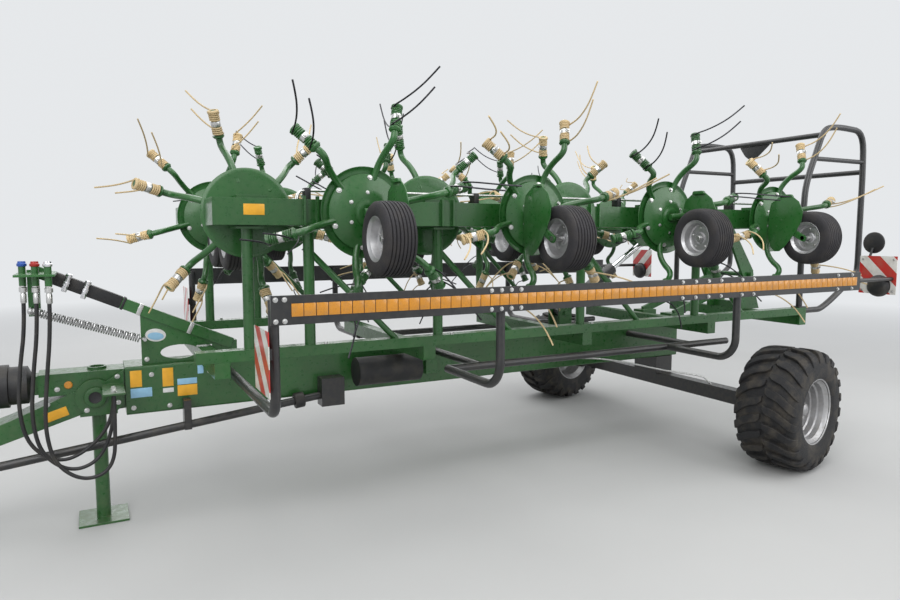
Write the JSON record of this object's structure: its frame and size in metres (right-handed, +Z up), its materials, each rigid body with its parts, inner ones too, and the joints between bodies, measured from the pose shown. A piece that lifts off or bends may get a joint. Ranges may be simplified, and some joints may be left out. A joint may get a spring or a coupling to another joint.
{
  "type": "towed hay tedder, folded for the road",
  "caption": "Towed rotary hay tedder folded for transport: upright tined rotors on long beams over a steered two-wheel chassis with side guards and a stand.",
  "frame": {"origin": "on the ground under the middle of the machine's bounding box", "axes": "+X to the rear, -Y the machine's near (left) side, +Z up"},
  "size_m": [7.25, 3.1038, 2.585],
  "materials": {
    "green_paint": "gloss paint",
    "black_paint": "satin paint",
    "black_plastic": "moulded",
    "spring_steel": "bright zinc",
    "chromed_rod": "hard chrome",
    "tyre_rubber": "tread rubber on silver rims",
    "small_tyre": "ribbed rubber on silver rims",
    "hose_rubber": "smooth",
    "amber_strip": "retroreflective sheet",
    "striped_board": "red and white stripes",
    "lamp_housing": "moulded, red lens"
  },
  "bodies": {
    "chassis": {"main_beam": "green_paint", "drawbar": "green_paint", "hose_holder": "green_paint", "holder_spring": "spring_steel", "cross_members": "green_paint", "cradle_rails": "green_paint", "rear_frame": "green_paint", "axle_beam": "black_paint", "side_guards": "black_paint", "reflector_strips": "amber_strip", "warning_boards": "striped_board", "tail_lamps": "lamp_housing", "rear_guard": "black_paint", "drive_shaft": "black_paint", "shaft_bell": "black_plastic", "document_tube": "black_plastic", "lift_clevis": "green_paint", "hose_1": "hose_rubber", "hose_2": "hose_rubber", "hose_3": "hose_rubber"},
    "crossbar": {"link_crossbar": "green_paint"},
    "stand": {"parking_stand": "green_paint"},
    "knuckle_near": {"knuckle_near": "black_paint"},
    "knuckle_far": {"knuckle_far": "black_paint"},
    "tie_rod": {"tie_rod": "black_paint"},
    "wheel_near": {"wheel_near": "tyre_rubber"},
    "wheel_far": {"wheel_far": "tyre_rubber"},
    "lift_barrel": {"lift_barrel": "black_paint"},
    "lift_rod": {"lift_rod": "chromed_rod"},
    "carrier": {"rotor_carrier": "green_paint", "row_beams": "green_paint", "wheel_forks": "green_paint"},
    "rotor_near_outer_1": {"rotor_near_outer_1": "green_paint"},
    "small_wheel_near_outer_1": {"small_wheel_near_outer_1": "small_tyre"},
    "rotor_near_outer_2": {"rotor_near_outer_2": "green_paint"},
    "small_wheel_near_outer_2": {"small_wheel_near_outer_2": "small_tyre"},
    "rotor_near_outer_3": {"rotor_near_outer_3": "green_paint"},
    "small_wheel_near_outer_3": {"small_wheel_near_outer_3": "small_tyre"},
    "rotor_near_outer_4": {"rotor_near_outer_4": "green_paint"},
    "small_wheel_near_outer_4": {"small_wheel_near_outer_4": "small_tyre"},
    "rotor_near_inner_1": {"rotor_near_inner_1": "green_paint"},
    "small_wheel_near_inner_1": {"small_wheel_near_inner_1": "small_tyre"},
    "rotor_near_inner_2": {"rotor_near_inner_2": "green_paint"},
    "small_wheel_near_inner_2": {"small_wheel_near_inner_2": "small_tyre"},
    "rotor_near_inner_3": {"rotor_near_inner_3": "green_paint"},
    "small_wheel_near_inner_3": {"small_wheel_near_inner_3": "small_tyre"},
    "rotor_far_outer_1": {"rotor_far_outer_1": "green_paint"},
    "small_wheel_far_outer_1": {"small_wheel_far_outer_1": "small_tyre"},
    "rotor_far_outer_2": {"rotor_far_outer_2": "green_paint"},
    "small_wheel_far_outer_2": {"small_wheel_far_outer_2": "small_tyre"},
    "rotor_far_outer_3": {"rotor_far_outer_3": "green_paint"},
    "small_wheel_far_outer_3": {"small_wheel_far_outer_3": "small_tyre"},
    "rotor_far_outer_4": {"rotor_far_outer_4": "green_paint"},
    "small_wheel_far_outer_4": {"small_wheel_far_outer_4": "small_tyre"},
    "rotor_far_inner_1": {"rotor_far_inner_1": "green_paint"},
    "small_wheel_far_inner_1": {"small_wheel_far_inner_1": "small_tyre"},
    "rotor_far_inner_2": {"rotor_far_inner_2": "green_paint"},
    "small_wheel_far_inner_2": {"small_wheel_far_inner_2": "small_tyre"},
    "rotor_far_inner_3": {"rotor_far_inner_3": "green_paint"},
    "small_wheel_far_inner_3": {"small_wheel_far_inner_3": "small_tyre"}
  },
  "joints": [
    {"name": "crossbar_yaw", "type": "hinge", "parent": "chassis", "child": "crossbar", "pos_m": [-3.5, 0, 0.48], "axis": [0, 0, 1], "range_deg": [-50, 50]},
    {"name": "stand_slide", "type": "slide", "parent": "chassis", "child": "stand", "axis": [0, 0, 1], "range_m": [0, 0.3]},
    {"name": "steer_near", "type": "hinge", "parent": "chassis", "child": "knuckle_near", "pos_m": [1.86, -0.98, 0.43], "axis": [0, 0, 1], "range_deg": [-32, 8]},
    {"name": "steer_far", "type": "hinge", "parent": "chassis", "child": "knuckle_far", "pos_m": [1.86, 0.98, 0.43], "axis": [0, 0, 1], "range_deg": [-32, 8]},
    {"name": "tie_rod_shift", "type": "slide", "parent": "chassis", "child": "tie_rod", "axis": [0, 1, 0], "range_m": [-0.112, 0.03]},
    {"name": "lift", "type": "hinge", "parent": "chassis", "child": "carrier", "pos_m": [2.76, 0, 1.3], "axis": [0, 1, 0], "range_deg": [0, 8]},
    {"name": "barrel_swing", "type": "hinge", "parent": "chassis", "child": "lift_barrel", "pos_m": [0.85, 0, 1.04], "axis": [0, 1, 0], "range_deg": [-5, 0.5]},
    {"name": "rod_slide", "type": "slide", "parent": "lift_barrel", "child": "lift_rod", "axis": [0.8396, 0, 0.5433], "range_m": [-0.001, 0.126]},
    {"name": "wheel_near_spin", "type": "hinge", "parent": "knuckle_near", "child": "wheel_near", "pos_m": [1.92237, -1.27344, 0.43], "axis": [-0.2079, 0.9781, 0], "continuous": true},
    {"name": "wheel_far_spin", "type": "hinge", "parent": "knuckle_far", "child": "wheel_far", "pos_m": [1.79763, 1.27344, 0.43], "axis": [-0.2079, 0.9781, 0], "continuous": true},
    {"name": "rotor_near_outer_1_spin", "type": "hinge", "parent": "carrier", "child": "rotor_near_outer_1", "pos_m": [-1.13, -0.9, 1.77], "axis": [0, 1, 0], "continuous": true},
    {"name": "small_wheel_near_outer_1_spin", "type": "hinge", "parent": "carrier", "child": "small_wheel_near_outer_1", "pos_m": [-1.13, -1.235, 1.63], "axis": [1, 0, 0], "continuous": true},
    {"name": "rotor_near_outer_2_spin", "type": "hinge", "parent": "carrier", "child": "rotor_near_outer_2", "pos_m": [-0.04, -0.9, 1.77], "axis": [0, 1, 0], "continuous": true},
    {"name": "small_wheel_near_outer_2_spin", "type": "hinge", "parent": "carrier", "child": "small_wheel_near_outer_2", "pos_m": [-0.04, -1.235, 1.63], "axis": [1, 0, 0], "continuous": true},
    {"name": "rotor_near_outer_3_spin", "type": "hinge", "parent": "carrier", "child": "rotor_near_outer_3", "pos_m": [1.05, -0.9, 1.77], "axis": [0, 1, 0], "continuous": true},
    {"name": "small_wheel_near_outer_3_spin", "type": "hinge", "parent": "carrier", "child": "small_wheel_near_outer_3", "pos_m": [1.05, -1.235, 1.63], "axis": [1, 0, 0], "continuous": true},
    {"name": "rotor_near_outer_4_spin", "type": "hinge", "parent": "carrier", "child": "rotor_near_outer_4", "pos_m": [2.14, -0.9, 1.77], "axis": [0, 1, 0], "continuous": true},
    {"name": "small_wheel_near_outer_4_spin", "type": "hinge", "parent": "carrier", "child": "small_wheel_near_outer_4", "pos_m": [2.14, -1.235, 1.63], "axis": [1, 0, 0], "continuous": true},
    {"name": "rotor_near_inner_1_spin", "type": "hinge", "parent": "carrier", "child": "rotor_near_inner_1", "pos_m": [-1.675, -0.54, 1.77], "axis": [0, 1, 0], "continuous": true},
    {"name": "small_wheel_near_inner_1_spin", "type": "hinge", "parent": "carrier", "child": "small_wheel_near_inner_1", "pos_m": [-1.675, -0.205, 1.63], "axis": [1, 0, 0], "continuous": true},
    {"name": "rotor_near_inner_2_spin", "type": "hinge", "parent": "carrier", "child": "rotor_near_inner_2", "pos_m": [-0.585, -0.54, 1.77], "axis": [0, 1, 0], "continuous": true},
    {"name": "small_wheel_near_inner_2_spin", "type": "hinge", "parent": "carrier", "child": "small_wheel_near_inner_2", "pos_m": [-0.585, -0.205, 1.63], "axis": [1, 0, 0], "continuous": true},
    {"name": "rotor_near_inner_3_spin", "type": "hinge", "parent": "carrier", "child": "rotor_near_inner_3", "pos_m": [0.505, -0.54, 1.77], "axis": [0, 1, 0], "continuous": true},
    {"name": "small_wheel_near_inner_3_spin", "type": "hinge", "parent": "carrier", "child": "small_wheel_near_inner_3", "pos_m": [0.505, -0.205, 1.63], "axis": [1, 0, 0], "continuous": true},
    {"name": "rotor_far_outer_1_spin", "type": "hinge", "parent": "carrier", "child": "rotor_far_outer_1", "pos_m": [-1.13, 0.9, 1.77], "axis": [0, 1, 0], "continuous": true},
    {"name": "small_wheel_far_outer_1_spin", "type": "hinge", "parent": "carrier", "child": "small_wheel_far_outer_1", "pos_m": [-1.13, 1.235, 1.63], "axis": [1, 0, 0], "continuous": true},
    {"name": "rotor_far_outer_2_spin", "type": "hinge", "parent": "carrier", "child": "rotor_far_outer_2", "pos_m": [-0.04, 0.9, 1.77], "axis": [0, 1, 0], "continuous": true},
    {"name": "small_wheel_far_outer_2_spin", "type": "hinge", "parent": "carrier", "child": "small_wheel_far_outer_2", "pos_m": [-0.04, 1.235, 1.63], "axis": [1, 0, 0], "continuous": true},
    {"name": "rotor_far_outer_3_spin", "type": "hinge", "parent": "carrier", "child": "rotor_far_outer_3", "pos_m": [1.05, 0.9, 1.77], "axis": [0, 1, 0], "continuous": true},
    {"name": "small_wheel_far_outer_3_spin", "type": "hinge", "parent": "carrier", "child": "small_wheel_far_outer_3", "pos_m": [1.05, 1.235, 1.63], "axis": [1, 0, 0], "continuous": true},
    {"name": "rotor_far_outer_4_spin", "type": "hinge", "parent": "carrier", "child": "rotor_far_outer_4", "pos_m": [2.14, 0.9, 1.77], "axis": [0, 1, 0], "continuous": true},
    {"name": "small_wheel_far_outer_4_spin", "type": "hinge", "parent": "carrier", "child": "small_wheel_far_outer_4", "pos_m": [2.14, 1.235, 1.63], "axis": [1, 0, 0], "continuous": true},
    {"name": "rotor_far_inner_1_spin", "type": "hinge", "parent": "carrier", "child": "rotor_far_inner_1", "pos_m": [-1.675, 0.54, 1.77], "axis": [0, 1, 0], "continuous": true},
    {"name": "small_wheel_far_inner_1_spin", "type": "hinge", "parent": "carrier", "child": "small_wheel_far_inner_1", "pos_m": [-1.675, 0.205, 1.63], "axis": [1, 0, 0], "continuous": true},
    {"name": "rotor_far_inner_2_spin", "type": "hinge", "parent": "carrier", "child": "rotor_far_inner_2", "pos_m": [-0.585, 0.54, 1.77], "axis": [0, 1, 0], "continuous": true},
    {"name": "small_wheel_far_inner_2_spin", "type": "hinge", "parent": "carrier", "child": "small_wheel_far_inner_2", "pos_m": [-0.585, 0.205, 1.63], "axis": [1, 0, 0], "continuous": true},
    {"name": "rotor_far_inner_3_spin", "type": "hinge", "parent": "carrier", "child": "rotor_far_inner_3", "pos_m": [0.505, 0.54, 1.77], "axis": [0, 1, 0], "continuous": true},
    {"name": "small_wheel_far_inner_3_spin", "type": "hinge", "parent": "carrier", "child": "small_wheel_far_inner_3", "pos_m": [0.505, 0.205, 1.63], "axis": [1, 0, 0], "continuous": true}
  ],
  "couplings": [
    {"joint": "steer_far", "follows": "steer_near", "ratio": 1},
    {"joint": "tie_rod_shift", "follows": "steer_near", "m_per_rad": 0.1956},
    {"joint": "barrel_swing", "follows": "lift", "ratio": -0.5925},
    {"joint": "rod_slide", "follows": "lift", "m_per_rad": 0.8957},
    {"joint": "rotor_near_outer_2_spin", "follows": "rotor_near_outer_1_spin", "ratio": -1},
    {"joint": "rotor_near_outer_3_spin", "follows": "rotor_near_outer_1_spin", "ratio": 1},
    {"joint": "rotor_near_outer_4_spin", "follows": "rotor_near_outer_1_spin", "ratio": -1},
    {"joint": "rotor_near_inner_2_spin", "follows": "rotor_near_inner_1_spin", "ratio": -1},
    {"joint": "rotor_near_inner_3_spin", "follows": "rotor_near_inner_1_spin", "ratio": 1},
    {"joint": "rotor_far_outer_2_spin", "follows": "rotor_far_outer_1_spin", "ratio": -1},
    {"joint": "rotor_far_outer_3_spin", "follows": "rotor_far_outer_1_spin", "ratio": 1},
    {"joint": "rotor_far_outer_4_spin", "follows": "rotor_far_outer_1_spin", "ratio": -1},
    {"joint": "rotor_far_inner_2_spin", "follows": "rotor_far_inner_1_spin", "ratio": -1},
    {"joint": "rotor_far_inner_3_spin", "follows": "rotor_far_inner_1_spin", "ratio": 1}
  ]
}
